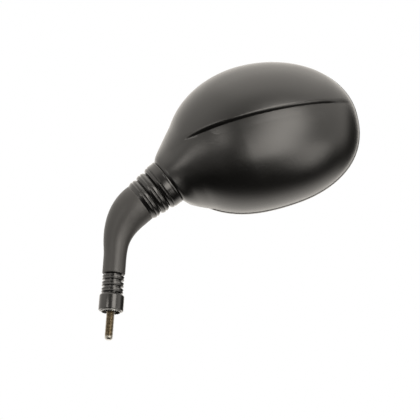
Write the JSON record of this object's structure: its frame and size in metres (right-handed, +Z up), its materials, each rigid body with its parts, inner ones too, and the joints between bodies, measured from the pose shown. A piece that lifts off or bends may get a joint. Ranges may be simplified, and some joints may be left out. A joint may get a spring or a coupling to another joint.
{
  "type": "motorcycle mirror",
  "caption": "Oval motorcycle mirror with a domed black back, on a bent tapering arm with rubber boots at both ends and a threaded stud below.",
  "frame": {"origin": "on the stud's axis, in the plane where the lock nut's toothed face seats", "axes": "+Z up the stud's axis; +X towards the side that the arm bends to; the glass faces +Y"},
  "size_m": [0.1785, 0.0664, 0.2173],
  "materials": {
    "black_plastic": "fine grain, semi-matte",
    "arm_plastic": "fine grain, semi-matte",
    "rubber": "smooth, semi-matte",
    "zinc_steel": "zinc plated",
    "stud_steel": "yellow passivated",
    "white_nylon": "satin",
    "foam": "matte",
    "glass_mirror": "mirror"
  },
  "bodies": {
    "stem": {"threaded_stud": "stud_steel", "lock_nut": "zinc_steel", "arm": "arm_plastic", "ball_stud": "zinc_steel", "upper_boot": "rubber"},
    "cuff": {"lower_boot": "rubber"},
    "lower_seat": {"ball_seat": "white_nylon"},
    "upper_seat": {"ball_cup": "white_nylon"},
    "head": {"thrust_ring": "zinc_steel", "disc_springs": "zinc_steel", "ball_socket": "arm_plastic", "clamp_plate": "zinc_steel", "clamp_washers": "zinc_steel", "clamp_screws": "zinc_steel", "housing_shell": "black_plastic", "rim_trim": "black_plastic", "backing_plate": "black_plastic", "plate_screws": "zinc_steel", "foam_pad": "foam", "mirror_glass": "glass_mirror"}
  },
  "joints": [
    {"name": "head_spin", "type": "hinge", "parent": "stem", "child": "lower_seat", "pos_m": [0.02537, 0, 0.09173], "axis": [0.7524, 0, 0.6587], "range_deg": [-30, 30]},
    {"name": "head_tilt", "type": "hinge", "parent": "lower_seat", "child": "upper_seat", "pos_m": [0.02537, 0, 0.09173], "axis": [0, 1, 0], "range_deg": [-15, 15]},
    {"name": "head_pan", "type": "hinge", "parent": "upper_seat", "child": "head", "pos_m": [0.02537, 0, 0.09173], "axis": [-0.6587, 0, 0.7524], "range_deg": [-15, 15], "deforming": ["upper_boot"]},
    {"name": "cuff_lift", "type": "slide", "parent": "stem", "child": "cuff", "axis": [0, 0, 1], "range_m": [0, 0.006], "deforming": ["lower_boot"]}
  ]
}
